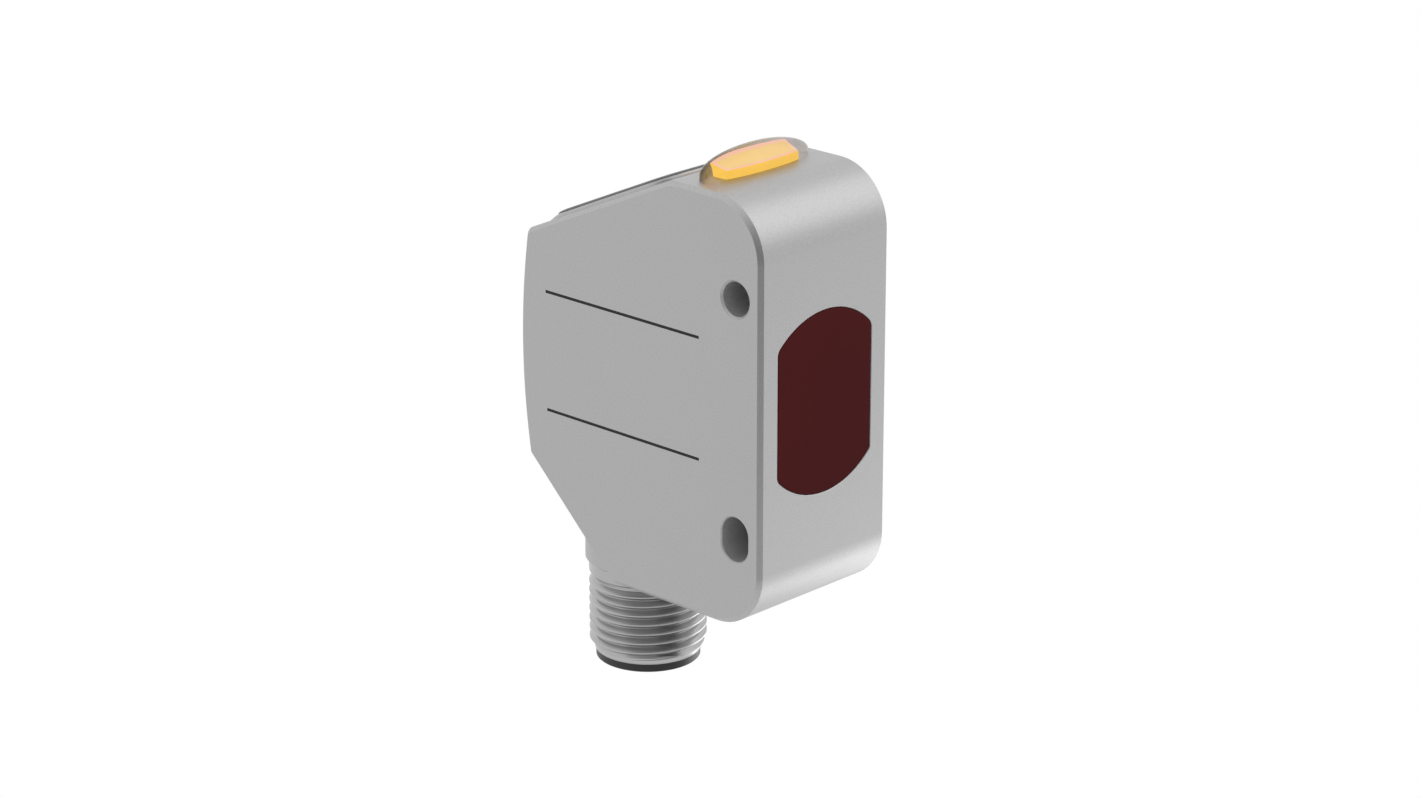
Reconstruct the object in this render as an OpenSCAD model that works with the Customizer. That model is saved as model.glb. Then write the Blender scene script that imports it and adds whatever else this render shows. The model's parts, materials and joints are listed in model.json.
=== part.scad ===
// Compact laser distance sensor in a flush-mount stainless housing.
// Frame: +Z up, the sensing face looks along -Y, the width lies along X.
// The origin is the centre of the round mounting hole, halfway across the width.

/* [Housing] */
// Width across the two flat sides
body_w = 18; // [17:0.1:24]
// Depth from the front face to the furthest point of the back
body_depth = 32.5; // [31:0.1:40]
// Height from the bottom face to the top face
body_h = 42.9; // [41:0.1:54]
// Front face to the axis of the mounting holes
hole_to_front = 3.3; // [3.2:0.1:4.2]
// Top face to the axis of the round mounting hole
hole_to_top = 9.8; // [9:0.1:12]
// Wall of the rim, top, back and bottom
wall = 1.3; // [1.1:0.1:1.6]
// Wall behind the sensing face
front_wall = 1.8; // [1.6:0.1:2.2]
// Wall of the flat side that is part of the housing
side_wall = 1.2; // [1:0.1:1.6]
// Radius of the two front corners
front_r = 6; // [4:0.1:7]

/* [Back] */
// Front face to the crest where the top turns into the rear slope
crest_setback = 11.9; // [11:0.1:14]
// Fall of the rear slope below the horizontal
slope_angle = 24.2; // [20:0.1:26]
// Length of the flat bottom, from the front face
bottom_len = 20.1; // [19:0.1:22]
// Rise of the lower back above the horizontal
slant_angle = 43.3; // [40:0.1:48]
// Radius of the bulged back
back_r = 70; // [60:1:90]
// Lean of the back at both of its ends
back_lean = 8.2; // [6:0.2:8.6]

/* [Mounting holes] */
// Diameter of the mounting holes, a free fit for M3 screws
hole_d = 3.4; // [3.2:0.1:3.6]
// Distance from the round hole to the slotted hole
hole_spacing = 24; // [23:0.1:28]
// Length of the slotted hole, end to end
slot_l = 4.5; // [4:0.1:5]
// Wall of the tubes that carry the holes through the housing
boss_wall = 1; // [0.8:0.1:1.2]

/* [Side cover] */
// Thickness of the welded side cover
cover_t = 1; // [0.8:0.1:1.2]
// Rim of the housing left around the side cover
cover_land = 0.9; // [0.7:0.05:1]

/* [Sensing window] */
// Width of the window between its two straight sides
win_w = 13.1; // [11:0.1:13.4]
// Height of the window, which is the diameter of its round ends
win_h = 18.3; // [16:0.1:18.8]
// Window centre above the middle of the two mounting holes
win_rise = 0.5; // [0:0.1:0.6]
// Radius where a straight side meets a round end
win_corner = 1; // [0.6:0.1:1.5]
// Thickness of the window
win_t = 1; // [0.8:0.1:1.2]
// Width of the ledge that the window rests on
win_ledge = 0.8; // [0.6:0.1:1]

/* [Rear panel] */
// Width of the raised panel
panel_w = 16.4; // [14:0.1:16.4]
// Length of the raised panel along the slope
panel_l = 17.9; // [17:0.1:18.4]
// Crest to the upper edge of the panel
panel_from_crest = 1.2; // [1:0.1:1.6]
// Corner radius of the panel
panel_r = 3; // [2:0.1:4]
// Height of the steel rim under the panel
bezel_h = 0.4; // [0.3:0.05:0.6]
// Thickness of the dark cover plate that lies on the rim
plate_t = 0.26; // [0.2:0.02:0.4]
// Diameter of a push button
button_d = 4; // [3.6:0.1:4]
// Distance between the push buttons
button_pitch = 4.4; // [4.3:0.05:4.4]
// Travel of a push button
button_travel = 0.4; // [0.3:0.05:0.5]

/* [Indicator] */
// Length of the indicator lens across the housing
lens_l = 14.4; // [13:0.1:14.6]
// Width of the indicator lens
lens_w = 4; // [3.6:0.1:4.2]
// Height of the lens above the top face
lens_h = 2.55; // [2:0.05:2.8]
// Height of the upright edge of the lens
lens_edge = 0.5; // [0.4:0.05:0.8]
// Front face to the middle of the lens
lens_setback = 9.3; // [9.2:0.1:9.4]
// Thickness of the clear shell over the amber core
lens_shell = 0.4; // [0.3:0.05:0.5]

/* [Connector] */
// Major diameter of the connector thread
thread_d = 11.9; // [11.8:0.01:11.97]
// Pitch of the connector thread
thread_pitch = 1; // [1:0.25:1.5]
// Number of full turns of the connector thread
thread_turns = 7; // [5:1:9]
// Furthest point of the back to the axis of the connector
conn_from_back = 8.7; // [8.4:0.1:9.5]
// Diameter of the neck that carries the connector
neck_d = 12.6; // [12.4:0.1:13]
// Length of the neck below the bottom face
neck_drop = 0.75; // [0.5:0.05:1.2]
// Length of the connector from the end of the neck to the end of its metal
barrel_l = 9.75; // [8.8:0.05:12]
// How far the black insert stands out of the metal
insert_lip = 0.7; // [0.4:0.05:1]
// Inner diameter of the insert, which takes the mating plug
socket_d = 8.6; // [8.4:0.1:8.8]
// Depth of the socket
socket_depth = 8.6; // [7.5:0.1:9]
// Diameter of the contact pins
pin_d = 1; // [0.8:0.1:1]
// Diameter of the circle that the outer pins stand on
pin_circle = 5; // [4.6:0.1:5.2]

/* [Optics] */
// Outer diameter of the laser barrel
laser_d = 6; // [5.6:0.1:6.4]
// Diameter of the receiving lens
rx_lens_d = 8.4; // [7.6:0.1:8.6]
// Distance from the laser axis to the receiving axis
baseline = 7.7; // [7.6:0.1:8]
// Depth of the block that holds the optics
carrier_depth = 11; // [10:0.1:12]

/* [Boards] */
// Thickness of the circuit boards
board_t = 1; // [0.8:0.1:1.2]
// Size of the small screws inside
screw_d = 1.6; // [1.4:0.1:1.8]

/* [Hidden] */
$fn = 64;
eps = 0.01;             // overlap of pieces that are one solid
fit = 0.1;              // clearance round a piece that is laid in its seat
slip = 0.02;            // clearance of a turned piece in its bore
guide_gap = 0.15;       // clearance of the display board between the two side walls
arc_steps = 12;         // straight steps in a corner of the outline

side_x = body_w / 2;
front_y = -hole_to_front;
back_y = front_y + body_depth;
top_z = hole_to_top;
bottom_z = top_z - body_h;
crest_y = front_y + crest_setback;
apex_rise = 0.85;       // the back bulges most a little above its middle
apex_z = (top_z + bottom_z) / 2 + apex_rise;
apex_y = back_y + back_r * (1 / cos(back_lean) - 1);
crest_r = 1.5;
rear_r = 1.2;
heel_r = 0.9;
least_r = 0.3;

cavity_x0 = -side_x + side_wall;
cavity_x1 = side_x - cover_t;
cavity_y0 = front_y + front_wall;
hole_r = hole_d / 2;
boss_r = hole_r + boss_wall;
mouth = 0.2;            // chamfer at the mouths of the mounting holes
slot_z = -hole_spacing;
slot_reach = slot_l / 2 - hole_r;
win_z = slot_z / 2 + win_rise;

conn_y = back_y - conn_from_back;
neck_r = neck_d / 2;
neck_z = bottom_z - neck_drop;
neck_top_z = bottom_z + 10.6;
neck_chamfer = 0.35;
neck_bore_r = 5.1;
spigot_r = neck_bore_r - slip;
spigot_top_z = neck_top_z - 1.4;
barrel_z = neck_z - barrel_l;
barrel_bore_r = 4.8;
thread_r = thread_d / 2;
thread_depth = 0.54 * thread_pitch;
thread_crest = thread_pitch / 5;
thread_from = barrel_z + 1.05;
insert_r = barrel_bore_r - slip;
insert_z = barrel_z - insert_lip;
insert_lip_r = insert_r + 0.32;
socket_r = socket_d / 2;
socket_z = insert_z + socket_depth;
insert_top_z = socket_z + 4;
pin_r = pin_d / 2;
pin_tip_gap = 1.1;
link_board_z = insert_top_z + 2.5;
seal_z = max(insert_top_z + 1.6, bottom_z + 2);

lens_y = front_y + lens_setback;
lens_power = 2.1;       // squareness of the lens outline
stem_l = lens_l - 2.6;
stem_w = lens_w - 1.8;
pipe_z = top_z - 3.8;

hatch_w = panel_w - 1.9;
hatch_l = panel_l - 3.6;
hatch_r = 1.4;
panel_top = bezel_h + plate_t;
slope_end = meet([crest_y, top_z], -slope_angle, [apex_y, apex_z], 90 + back_lean);
rim_end = norm(slope_end - [crest_y, top_z]) - 1;
plug_bottom = -0.5;
button_v = panel_l - 5.6;   // row of buttons, from the upper edge of the panel
button_r = button_d / 2;
button_clear = 0.08;
flange_t = 0.3;
flange_r = button_r + 0.2;
flange_top = plug_bottom - 0.1;
flange_bottom = flange_top - flange_t;
membrane_t = 0.3;
membrane_top = flange_bottom - button_travel - 0.1;
switch_h = 2;
display_board_top = membrane_top - membrane_t - 0.1 - switch_h;
display_top = plug_bottom - 0.15;
digits_l = 6.9;
digits_w = 12;

carrier_y0 = cavity_y0 + fit;
carrier_y1 = carrier_y0 + carrier_depth;
carrier_x0 = cavity_x0 + 0.8;
board_x1 = cavity_x1 - 1.6;
board_x0 = board_x1 - board_t;
carrier_x1 = board_x0 - 0.8;
carrier_z1 = -boss_r - 0.5;
carrier_z0 = slot_z + slot_reach + boss_r + 0.5;
laser_r = laser_d / 2;
laser_z = carrier_z1 - laser_r - 0.7;
rx_r = rx_lens_d / 2;
rx_z = laser_z - baseline;
rx_seat_y = carrier_y0 + 4;
rx_tunnel_r = rx_r - 0.5;
chip_drop = 0.9;
optic_board_y = carrier_y1 + 1.1;
screw_r = screw_d / 2;
screw_head_r = screw_r + 0.6;
screw_head_t = 0.7;
screw_inset = 1.7;
lug = 3;                // lugs above and below the optics block take its screws
carrier_screws_at = [[carrier_y1 - screw_inset, carrier_z1 + lug / 2],
                     [carrier_y1 - screw_inset, carrier_z0 - lug / 2]];

steel = "#b9bbbd";
dark = "#2b2c2e";
board_green = "#2f6b45";
gold = "#c9a24a";

// ---- outline of the housing, in the Y-Z plane -------------------------------------------

// Each edge is a point on it, its direction, and the radius of the corner at its end.
EDGES = [[[front_y, bottom_z], 0, rear_r],
         [[front_y + bottom_len, bottom_z], slant_angle, heel_r],
         [[apex_y, apex_z], 90 - back_lean, back_r],
         [[apex_y, apex_z], 90 + back_lean, rear_r],
         [[crest_y, top_z], 180 - slope_angle, crest_r],
         [[crest_y, top_z], 180, front_r],
         [[front_y, top_z], 270, front_r]];

function cross2(a, b) = a[0] * b[1] - a[1] * b[0];
function heading(a) = [cos(a), sin(a)];

// Where the line through p towards angle a meets the line through q towards angle b
function meet(p, a, q, b) = p + heading(a) * cross2(q - p, heading(b)) / cross2(heading(a), heading(b));

// Points of the outline, drawn in by the given distance
function outline(inset) = [
    for (k = [0 : len(EDGES) - 1])
        let (e = EDGES[k], f = EDGES[(k + 1) % len(EDGES)],
             a = e[1], turn = (f[1] - a + 360) % 360,
             corner = meet(e[0] + inset * heading(a + 90), a, f[0] + inset * heading(f[1] + 90), f[1]),
             r = max(e[2] - inset, least_r),
             centre = corner - r * tan(turn / 2) * heading(a) + r * heading(a + 90))
        for (j = [0 : arc_steps]) centre + r * heading(a + turn * j / arc_steps - 90)
];

// A slice of the housing between two places across its width
module slab(inset, x0, x1) {
    translate([x0, 0, 0]) rotate([90, 0, 90]) linear_extrude(x1 - x0) polygon(outline(inset));
}

// ---- shared shapes ---------------------------------------------------------------------

// Cylinder along X between two places
module rod_x(r, x0, x1, y, z) {
    translate([x0, y, z]) rotate([0, 90, 0]) cylinder(r = r, h = x1 - x0);
}

// Cylinder along Y between two places
module rod_y(r, y0, y1, x, z) {
    translate([x, y0, z]) rotate([-90, 0, 0]) cylinder(r = r, h = y1 - y0);
}

// Cylinder along Z between two places, on the connector axis
module rod_z(r, z0, z1) {
    translate([0, conn_y, z0]) cylinder(r = r, h = z1 - z0);
}

// Box between two corners
module block(low, high) {
    translate(low) cube(high - low);
}

// The upright slotted hole as a solid, grown by the given distance
module slot_solid(grow, x0, x1) {
    r = hole_r + grow;
    for (s = [-1, 1]) rod_x(r, x0, x1, 0, slot_z + s * slot_reach);
    block([x0, -r, slot_z - slot_reach], [x1, r, slot_z + slot_reach]);
}

// Outline of the window: a circle cut by two straight sides, with its corners rounded
function window_points(grow) =
    let (r = win_h / 2 + grow, c = max(win_corner + grow, 0.2), x = win_w / 2 + grow - c,
         z = sqrt((r - c) * (r - c) - x * x), b = atan2(z, x), n = 32, m = 8)
    concat([for (k = [0 : n - 1]) r * heading(b + (180 - 2 * b) * k / n)],
           [for (k = [0 : m - 1]) [-x, z] + c * heading(180 - b + b * k / m)],
           [for (k = [0 : m - 1]) [-x, -z] + c * heading(180 + b * k / m)],
           [for (k = [0 : n - 1]) r * heading(180 + b + (180 - 2 * b) * k / n)],
           [for (k = [0 : m - 1]) [x, -z] + c * heading(360 - b + b * k / m)],
           [for (k = [0 : m - 1]) [x, z] + c * heading(b * k / m)]);

module window_solid(grow, y0, y1) {
    translate([0, y1, win_z]) rotate([90, 0, 0]) linear_extrude(y1 - y0) polygon(window_points(grow));
}

// Puts its children on the rear slope: +Y down the slope from the crest, +Z out of it
module on_slope() {
    translate([0, crest_y, top_z]) rotate([-slope_angle, 0, 0]) children();
}

// Plate with round corners, centred across the width, between two places along Y and two heights
module round_plate(w, y0, y1, z0, z1, r) {
    for (x = [-1, 1], y = [y0 + r, y1 - r]) translate([x * (w / 2 - r), y, z0]) cylinder(r = r, h = z1 - z0);
    block([-w / 2 + r, y0, z0], [w / 2 - r, y1, z1]);
    block([-w / 2, y0 + r, z0], [w / 2, y1 - r, z1]);
}

// The panel's outline, drawn in by the given distance, between two heights over the slope
module panel_plate(inset, z0, z1) {
    round_plate(panel_w - 2 * inset, panel_from_crest + inset, panel_from_crest + panel_l - inset,
                z0, z1, panel_r - inset);
}

// Raised rim under the panel; behind the panel it runs down to the end of the slope
module panel_rim() {
    panel_end = panel_from_crest + panel_l;
    intersection() {
        round_plate(panel_w, panel_from_crest, rim_end, -wall / 2, bezel_h, panel_r);
        rotate([90, 0, 90]) translate([0, 0, -side_x]) linear_extrude(body_w)
            polygon([[0, -wall], [rim_end, -wall], [rim_end, 0], [panel_end, bezel_h], [0, bezel_h]]);
    }
}

// The hatch through the slope under the panel, drawn in by the given distance
module hatch_plate(inset, z0, z1) {
    y0 = panel_from_crest + (panel_l - hatch_l) / 2;
    round_plate(hatch_w - 2 * inset, y0 + inset, y0 + hatch_l - inset, z0, z1, hatch_r - inset);
}

// Puts its children at each push button's centre
module at_buttons(which = [-1, 0, 1]) {
    for (k = which) translate([k * button_pitch, panel_from_crest + button_v, 0]) children();
}

// Outline of the indicator lens
function lens_points(l, w) = [
    for (k = [0 : 63])
        let (c = cos(k * 360 / 64), s = sin(k * 360 / 64), p = 2 / lens_power)
        [l / 2 * sign(c) * pow(abs(c), p), w / 2 * sign(s) * pow(abs(s), p)]
];

// Domed bar of the indicator, drawn in by the given distance
module lens_solid(inset) {
    crown = lens_h - lens_edge;
    translate([0, lens_y, top_z]) hull() {
        linear_extrude(lens_edge) polygon(lens_points(lens_l - 2 * inset, lens_w - 2 * inset));
        for (a = [15 : 15 : 75]) {
            s = cos(a);
            translate([0, 0, lens_edge]) linear_extrude((crown - inset) * sin(a))
                polygon(lens_points((lens_l - 2 * inset) * s, (lens_w - 2 * inset) * s));
        }
    }
}

// Bar with round ends across the housing, under the lens
module stem_solid(grow, z0, z1) {
    r = stem_w / 2 + grow;
    x = stem_l / 2 - stem_w / 2;
    for (s = [-1, 1]) translate([s * x, lens_y, z0]) cylinder(r = r, h = z1 - z0);
    block([-x, lens_y - r, z0], [x, lens_y + r, z1]);
}

// Cheese-head screw along X with its head on the +X side
module small_screw(x_head, x_tip, y, z) {
    difference() {
        rod_x(screw_head_r, x_head, x_head + screw_head_t, y, z);
        block([x_head + screw_head_t / 2, y - screw_head_r, z - 0.2],
              [x_head + screw_head_t + eps, y + screw_head_r, z + 0.2]);
    }
    rod_x(screw_r, x_tip, x_head + eps, y, z);
}

// Places of the screws that hold the main board, as points in the Y-Z plane
function board_screw_points() = [[optic_board_y + board_t + 2.6, carrier_z0 + 2.2],
                                 [back_y - wall - 3, apex_z - 4],
                                 [optic_board_y + board_t + 2.6, carrier_z1 - 1]];

// ---- housing and covers ------------------------------------------------------------------

// Space inside the housing
module cavity() {
    intersection() {
        slab(wall, cavity_x0, cavity_x1 + eps);
        block([-side_x, cavity_y0, bottom_z], [side_x, back_y, top_z]);
    }
}

module shell() {
    difference() {
        slab(0, -side_x, side_x);
        cavity();
        slab(cover_land, cavity_x1, side_x + 1);
    }
}

// Neck for the connector, with the break at its lower end
module neck() {
    rod_z(neck_r, neck_z + neck_chamfer, neck_top_z);
    translate([0, conn_y, neck_z]) cylinder(r1 = neck_r - neck_chamfer, r2 = neck_r, h = neck_chamfer + eps);
}

module housing() {
    color(steel) difference() {
        union() {
            shell();
            rod_x(boss_r, cavity_x0 - eps, side_x, 0, 0);
            slot_solid(boss_wall, cavity_x0 - eps, side_x);
            neck();
            on_slope() panel_rim();
            for (p = board_screw_points()) rod_x(screw_r + 0.7, cavity_x0 - eps, board_x0, p[0], p[1]);
            for (p = carrier_screws_at) rod_x(screw_r + 0.7, cavity_x0 - eps, carrier_x0, p[0], p[1]);
        }
        rod_x(hole_r, -side_x - 1, side_x + 1, 0, 0);
        translate([-side_x - eps, 0, 0]) rotate([0, 90, 0])
            cylinder(r1 = hole_r + mouth + eps, r2 = hole_r, h = mouth + eps);
        translate([side_x - mouth, 0, 0]) rotate([0, 90, 0])
            cylinder(r1 = hole_r, r2 = hole_r + mouth + eps, h = mouth + eps);
        slot_solid(0, -side_x - 1, side_x + 1);
        window_solid(fit / 2, front_y - 1, front_y + front_wall - 0.5);
        window_solid(-win_ledge, front_y - 1, cavity_y0 + eps);
        on_slope() hatch_plate(0, -wall - 1, bezel_h + eps);
        stem_solid(0.3, top_z - wall - eps, top_z + eps);
        rod_z(neck_bore_r, neck_z - 1, neck_top_z + 1);
        for (p = board_screw_points()) rod_x(screw_r + slip, board_x0 - 5, board_x0 + eps, p[0], p[1]);
        for (p = carrier_screws_at) rod_x(screw_r + slip, cavity_x0 - 0.6, carrier_x0 + eps, p[0], p[1]);
    }
}

module side_cover() {
    color(steel) difference() {
        slab(cover_land + slip, cavity_x1, side_x);
        rod_x(boss_r + slip, cavity_x1 - 1, side_x + 1, 0, 0);
        slot_solid(boss_wall + slip, cavity_x1 - 1, side_x + 1);
    }
}

// ---- sensing window and optics -------------------------------------------------------------

module sensing_window() {
    color([0.32, 0.05, 0.06, 0.9]) window_solid(0, front_y + 0.02, front_y + 0.02 + win_t);
}

module window_seal() {
    color(dark) difference() {
        window_solid(0, front_y + 0.02 + win_t, front_y + front_wall - 0.5);
        window_solid(-win_ledge, front_y, cavity_y0);
    }
}

module optics_carrier() {
    color(dark) difference() {
        union() {
            block([carrier_x0, carrier_y0, carrier_z0], [carrier_x1, carrier_y1, carrier_z1]);
            block([carrier_x0, carrier_y1 - 2 * screw_inset, carrier_z0 - lug],
                  [carrier_x1, carrier_y1, carrier_z1 + lug]);
        }
        rod_y(laser_r + slip, carrier_y0 - 1, carrier_y1 + 1, 0, laser_z);
        rod_y(rx_r + slip, carrier_y0 - 1, rx_seat_y, 0, rx_z);
        rod_y(rx_tunnel_r, carrier_y0, carrier_y1 + 1, 0, rx_z);
        for (p = carrier_screws_at) rod_x(screw_r + slip, carrier_x0 - 1, carrier_x1 + 1, p[0], p[1]);
    }
}

module carrier_screws() {
    color("silver") for (p = carrier_screws_at) small_screw(carrier_x1, cavity_x0 - 0.5, p[0], p[1]);
}

module laser_barrel() {
    color(gold) difference() {
        rod_y(laser_r, carrier_y0 + 0.6, carrier_y1 - 1.6, 0, laser_z);
        rod_y(laser_r - 0.5, carrier_y0 + 1.2, carrier_y1, 0, laser_z);
        rod_y(laser_r - 1.3, carrier_y0, carrier_y1, 0, laser_z);
    }
}

module collimating_lens() {
    r = laser_r - 0.5 - slip;
    y = carrier_y0 + 1.2;
    color([0.8, 0.85, 0.9, 0.5]) {
        intersection() {
            rod_y(r, y, y + 3, 0, laser_z);
            translate([0, y + 2 - 4, laser_z]) sphere(r = 4);
        }
    }
}

// Metal can with its flange on the end of the barrel, and three legs
module laser_diode() {
    flange_y = carrier_y1 - 1.6;
    color("silver") {
        rod_y(laser_r - 0.2, flange_y, flange_y + 1.2, 0, laser_z);
        rod_y(laser_r - 0.5 - slip, flange_y - 1, flange_y + eps, 0, laser_z);
        rod_y(laser_r - 1.2, flange_y - 3, flange_y - 1 + eps, 0, laser_z);
        for (a = [90, 210, 330])
            rod_y(0.225, flange_y + 1.2 - eps, optic_board_y + board_t + 0.4, cos(a), laser_z + sin(a));
    }
}

module laser_board() {
    color(board_green) difference() {
        block([carrier_x0 + 1, optic_board_y, (laser_z + rx_z) / 2 + 0.1],
              [carrier_x1 - 0.4, optic_board_y + board_t, carrier_z1]);
        for (a = [90, 210, 330])
            rod_y(0.225 + slip, optic_board_y - 1, optic_board_y + 3, cos(a), laser_z + sin(a));
    }
}

module receiving_lens() {
    bulge_r = rx_r * 1.7;
    y = rx_seat_y - 1.2;
    color([0.75, 0.82, 0.9, 0.5]) {
        rod_y(rx_r, y, rx_seat_y, 0, rx_z);
        intersection() {
            rod_y(rx_r - 0.3, y - 3, y + eps, 0, rx_z);
            translate([0, y - 1.2 + bulge_r, rx_z]) sphere(r = bulge_r);
        }
    }
}

module lens_retainer() {
    y = rx_seat_y - 1.2;
    color(dark) difference() {
        rod_y(rx_r, y - 0.8, y, 0, rx_z);
        rod_y(rx_r - 0.3 + slip, y - 1, y + 1, 0, rx_z);
    }
}

module image_sensor() {
    color("#3a3d45") block([-3.6, carrier_y1 + 0.1, rx_z - chip_drop - 1.6],
                           [3.6, optic_board_y, rx_z - chip_drop + 1.6]);
}

module imager_board() {
    color(board_green) block([carrier_x0 + 1, optic_board_y, carrier_z0],
                             [carrier_x1 - 0.4, optic_board_y + board_t, (laser_z + rx_z) / 2 - 0.1]);
}

module imager_cable() {
    x = carrier_x1 - 1.6;
    y = optic_board_y + board_t;
    color("#c98a2e") {
        block([x - 2, y, rx_z - 2], [board_x0 - 0.35, y + 0.15, rx_z + 2]);
        block([board_x0 - 0.5, y, rx_z - 2], [board_x0 - 0.35, y + 2.4, rx_z + 2]);
        block([board_x0 - 0.5, y + 2.25, rx_z - 2], [board_x0, y + 2.4, rx_z + 2]);
    }
}

// ---- main board --------------------------------------------------------------------------

// Outline of the main board: behind the optics, below the rear panel, above the connector
module main_board_outline() {
    y0 = optic_board_y + board_t + 0.6;
    y1 = back_y - wall - 1.4;
    under = display_board_top - board_t - 0.8;
    polygon([[boss_r + 0.4, carrier_z0], [y1, max(carrier_z0, neck_top_z + 0.5)],
             [y1, panel_line(y1, under)], [y0, panel_line(y0, under)], [boss_r + 0.4, panel_line(y0, under)]]);
}

// Height, at a place along Y, of the plane a given distance out of the slope
function panel_line(y, out) = top_z - (y - crest_y) * tan(slope_angle) + out / cos(slope_angle);

module main_board() {
    color(board_green) difference() {
        translate([board_x0, 0, 0]) rotate([90, 0, 90]) linear_extrude(board_t) main_board_outline();
        for (p = board_screw_points()) rod_x(screw_r + slip, board_x0 - 1, board_x1 + 1, p[0], p[1]);
    }
}

module processor() {
    y = optic_board_y + 3.6;
    z = carrier_z1 - 6.1;
    color(dark) block([board_x0 - 1, y, z - 3.5], [board_x0, y + 7, z + 3.5]);
}

// Chips, capacitors, a coil and the cable sockets on both faces of the main board
module board_parts() {
    y0 = optic_board_y + 5.6;
    z0 = carrier_z0 + 2.95;
    color("#4a4438") {
        for (k = [0 : 2]) block([board_x0 - 0.8, y0 + 2.3 * k, z0], [board_x0, y0 + 2.3 * k + 1.2, z0 + 2]);
        rod_x(1.8, board_x0 - 2.4, board_x0, back_y - wall - 3.7, apex_z + 1.8);
        for (k = [0 : 4]) block([board_x1, y0 + 1.9 * k, z0 + 5], [board_x1 + 0.6, y0 + 1.9 * k + 1, z0 + 6.6]);
        block([board_x1, 5, rx_z], [board_x1 + 1, 10, rx_z + 5]);
    }
}

module board_screws() {
    color("silver") for (p = board_screw_points()) small_screw(board_x1, board_x0 - 4.8, p[0], p[1]);
}

// ---- rear panel ----------------------------------------------------------------------------

module rear_panel() {
    color("#3b3c3f") on_slope() difference() {
        union() {
            panel_plate(0.12, bezel_h, panel_top);
            hatch_plate(0.25, plug_bottom, bezel_h + eps);
        }
        at_buttons() translate([0, 0, plug_bottom - 1]) cylinder(r = button_r + button_clear, h = 4);
    }
}

module panel_seal() {
    color(dark) on_slope() difference() {
        hatch_plate(slip, plug_bottom, bezel_h - 0.1);
        hatch_plate(0.25, plug_bottom - 1, bezel_h + 1);
    }
}

// One push button: a flush cap with a shallow dish, and the flange that keeps it in
module button(k) {
    cap_top = panel_top - 0.03;
    dish_r = 14;
    dish = 0.12;
    color("#4b4d51") on_slope() at_buttons([k]) difference() {
        union() {
            translate([0, 0, flange_bottom]) cylinder(r = button_r, h = cap_top - flange_bottom);
            translate([0, 0, flange_bottom]) cylinder(r = flange_r, h = flange_t);
        }
        translate([0, 0, cap_top - dish + dish_r]) sphere(r = dish_r, $fn = 96);
    }
}

module button_select() { button(-1); }

module button_minus() { button(0); }

module button_plus() { button(1); }

// Sheet under the buttons, stepped up round them to seal against the plug
module keypad_membrane() {
    v = panel_from_crest + button_v;
    color("#55575b") on_slope() {
        difference() {
            round_plate(hatch_w - 0.3, v - 2.9, v + 2.9, membrane_top - membrane_t, plug_bottom - 0.02, 0.6);
            round_plate(hatch_w - 1, v - 2.55, v + 2.55, membrane_top, plug_bottom + 1, 0.5);
        }
    }
}

module key_switches() {
    color("#8d8f92") on_slope() at_buttons() {
        block([-1.6, -1.6, display_board_top], [1.6, 1.6, display_board_top + switch_h - 0.5]);
        translate([0, 0, display_board_top + switch_h - 0.5 - eps]) cylinder(r = 0.8, h = 0.5);
    }
}

module digit_display() {
    y0 = panel_from_crest + (panel_l - hatch_l) / 2 + 0.5;
    color("#22262a") on_slope()
        block([-digits_w / 2, y0, display_board_top], [digits_w / 2, y0 + digits_l, display_top]);
}

module display_board() {
    y0 = panel_from_crest + 0.9;
    color(board_green) on_slope()
        block([cavity_x0 + guide_gap, y0, display_board_top - board_t],
              [-cavity_x0 - guide_gap, panel_from_crest + panel_l - 1.2, display_board_top]);
}

// Ribbon from the display board down to the main board
module display_cable() {
    y = crest_y + 12;
    z = panel_line(y, display_board_top - board_t);
    color("#c98a2e") block([board_x0 - 0.2, y - 2.5, z - 4.5], [board_x0, y + 2.5, z - 1]);
    color("#c98a2e") on_slope() block([2.5, 10, display_board_top - board_t - 0.2],
                                      [board_x0, 15, display_board_top - board_t]);
    color("#c98a2e") block([board_x0 - 0.2, y - 2.5, z - 1 - eps],
                           [board_x0, y - 2, panel_line(y - 2, display_board_top - board_t) - slip]);
}

// ---- indicator -----------------------------------------------------------------------------

module indicator_lens() {
    color([0.95, 0.93, 0.85, 0.5]) difference() {
        lens_solid(0);
        translate([0, 0, -eps]) lens_solid(lens_shell);
    }
}

// Amber bar inside the lens that brings the light up from the lamps
module indicator_core() {
    color([1, 0.72, 0.15]) {
        lens_solid(lens_shell + slip);
        stem_solid(0, pipe_z, top_z + eps);
    }
}

module indicator_seal() {
    color(dark) difference() {
        stem_solid(0.3, top_z - wall, top_z - 0.2);
        stem_solid(slip, top_z - wall - 1, top_z);
    }
}

module indicator_leds() {
    color("#e8dca0") for (x = [-4, 0, 4])
        block([x - 0.8, lens_y - 0.6, pipe_z - 1], [x + 0.8, lens_y + 0.6, pipe_z - 0.1]);
}

module indicator_board() {
    color(board_green) block([-stem_l / 2 - 0.4, lens_y - 1.7, pipe_z - 1 - board_t],
                             [stem_l / 2 + 0.4, lens_y + 1.2, pipe_z - 1]);
}

module indicator_cable() {
    z = pipe_z - 1 - board_t;
    color("#c98a2e") {
        block([board_x0 - 3, lens_y - 1.5, z - 0.15], [board_x0, lens_y + 1, z]);
        block([board_x0 - 0.15, lens_y - 1.5, panel_line(crest_y + 8, -6.6)], [board_x0, lens_y + 1, z]);
    }
}

// ---- connector -------------------------------------------------------------------------------

// Ridges of the thread, from its lower end upwards, as points of radius and height
function thread_points() = [
    for (k = [0 : thread_turns - 1], p = [[0, 0], [(thread_pitch - thread_crest) / 2, thread_depth],
         [(thread_pitch + thread_crest) / 2, thread_depth]])
        [thread_r - thread_depth + p[1], thread_from + k * thread_pitch + p[0]]
];

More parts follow.
